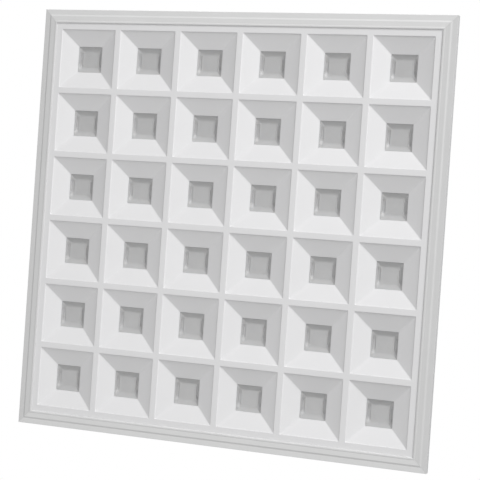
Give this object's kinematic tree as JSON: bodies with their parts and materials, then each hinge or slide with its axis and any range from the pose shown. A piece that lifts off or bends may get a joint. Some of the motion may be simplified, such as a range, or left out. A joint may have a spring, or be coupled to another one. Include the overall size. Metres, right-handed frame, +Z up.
{
  "type": "recessed troffer light",
  "caption": "Square lay-in ceiling light with a white frame, square reflector cells with opal lenses, a steel back pan, a hinged wiring box and swing-out clips.",
  "frame": {"origin": "centre of the square frame, in the plane of its lowest face, which is the lit side's", "axes": "+Z up into the ceiling void, away from the room; X and Y along the square's sides, with the mains inlet towards -X and the wiring box towards -Y"},
  "size_m": [0.595, 0.595, 0.0714],
  "materials": {
    "frame_coat": "matt white powder coat on an extruded section",
    "louvre_white": "matt white moulding",
    "opal_lens": "opal, satin",
    "pan_coat": "white coil-coated steel sheet",
    "spring_steel": "zinc plated",
    "plated_steel": "zinc plated",
    "rivet_aluminium": "plain",
    "brass_plate": "plain",
    "clear_nylon": "natural nylon",
    "white_nylon": "white nylon",
    "board_white": "white solder mask",
    "phosphor": "yellow phosphor",
    "driver_case": "light grey moulding",
    "terminal_grey": "grey moulding",
    "button_orange": "orange moulding",
    "gland_grey": "grey nylon",
    "black_rubber": "matt",
    "black_lead": "satin",
    "red_lead": "satin",
    "brown_lead": "satin",
    "green_lead": "satin"
  },
  "bodies": {
    "housing": {"back_pan": "pan_coat", "blanking_plugs": "gland_grey", "board_connectors": "white_nylon", "board_screws": "plated_steel", "box_ends": "pan_coat", "box_rivets": "rivet_aluminium", "clip_rivets": "rivet_aluminium", "corner_grub_screws": "plated_steel", "corner_keys": "clear_nylon", "driver_screws": "plated_steel", "earth_lead": "green_lead", "earth_screw": "brass_plate", "frame_rail_back": "frame_coat", "frame_rail_front": "frame_coat", "frame_rail_left": "frame_coat", "frame_rail_right": "frame_coat", "gland_body": "gland_grey", "gland_locknut": "gland_grey", "grommet": "black_rubber", "hanger_tabs": "pan_coat", "hinge_pins": "plated_steel", "jumper_wires": "red_lead", "led_board_1": "board_white", "led_board_2": "board_white", "led_board_3": "board_white", "led_board_4": "board_white", "led_board_5": "board_white", "led_board_6": "board_white", "led_driver": "driver_case", "led_packages": "phosphor", "lens_strip_1": "opal_lens", "lens_strip_2": "opal_lens", "lens_strip_3": "opal_lens", "lens_strip_4": "opal_lens", "lens_strip_5": "opal_lens", "lens_strip_6": "opal_lens", "louvre_row_1": "louvre_white", "louvre_row_2": "louvre_white", "louvre_row_3": "louvre_white", "louvre_row_4": "louvre_white", "louvre_row_5": "louvre_white", "louvre_row_6": "louvre_white", "mains_leads": "brown_lead", "pan_screws": "plated_steel", "post_screws": "plated_steel", "spacer_posts": "white_nylon", "supply_lead": "black_lead", "tab_rivets": "rivet_aluminium", "terminal_block": "terminal_grey", "wiring_box": "pan_coat"},
    "tee_clip_1": {"tee_clip_1": "spring_steel"},
    "tee_clip_2": {"tee_clip_2": "spring_steel"},
    "tee_clip_3": {"tee_clip_3": "spring_steel"},
    "tee_clip_4": {"tee_clip_4": "spring_steel"},
    "box_cover": {"box_cover": "pan_coat"},
    "cover_screw": {"cover_screw": "plated_steel"},
    "gland_dome_nut": {"gland_dome_nut": "gland_grey"},
    "release_button_live": {"release_button_live": "button_orange"},
    "release_button_neutral": {"release_button_neutral": "button_orange"},
    "release_button_earth": {"release_button_earth": "button_orange"}
  },
  "joints": [
    {"name": "tee_clip_1_turn", "type": "hinge", "parent": "housing", "child": "tee_clip_1", "pos_m": [-0.2415, -0.114, 0.0326], "axis": [0, 0, 1], "range_deg": [0, 90]},
    {"name": "tee_clip_2_turn", "type": "hinge", "parent": "housing", "child": "tee_clip_2", "pos_m": [-0.2415, 0.114, 0.0326], "axis": [0, 0, -1], "range_deg": [0, 90]},
    {"name": "tee_clip_3_turn", "type": "hinge", "parent": "housing", "child": "tee_clip_3", "pos_m": [0.2415, 0.114, 0.0326], "axis": [0, 0, 1], "range_deg": [0, 90]},
    {"name": "tee_clip_4_turn", "type": "hinge", "parent": "housing", "child": "tee_clip_4", "pos_m": [0.2415, -0.114, 0.0326], "axis": [0, 0, -1], "range_deg": [0, 90]},
    {"name": "box_cover_hinge", "type": "hinge", "parent": "housing", "child": "box_cover", "pos_m": [0, -0.18, 0.0664], "axis": [1, 0, 0], "range_deg": [0, 105]},
    {"name": "cover_screw_turn", "type": "hinge", "parent": "box_cover", "child": "cover_screw", "pos_m": [0, -0.1026, 0.0668], "axis": [0, 0, 1], "continuous": true},
    {"name": "gland_dome_nut_turn", "type": "hinge", "parent": "housing", "child": "gland_dome_nut", "pos_m": [-0.18, -0.1368, 0.0468], "axis": [-1, 0, 0], "continuous": true},
    {"name": "release_button_live_press", "type": "slide", "parent": "housing", "child": "release_button_live", "axis": [0, 0, -1], "range_m": [0, 0.0015], "stiffness_N_per_m": 1200, "springref_m": -0.001},
    {"name": "release_button_neutral_press", "type": "slide", "parent": "housing", "child": "release_button_neutral", "axis": [0, 0, -1], "range_m": [0, 0.0015], "stiffness_N_per_m": 1200, "springref_m": -0.001},
    {"name": "release_button_earth_press", "type": "slide", "parent": "housing", "child": "release_button_earth", "axis": [0, 0, -1], "range_m": [0, 0.0015], "stiffness_N_per_m": 1200, "springref_m": -0.001}
  ]
}
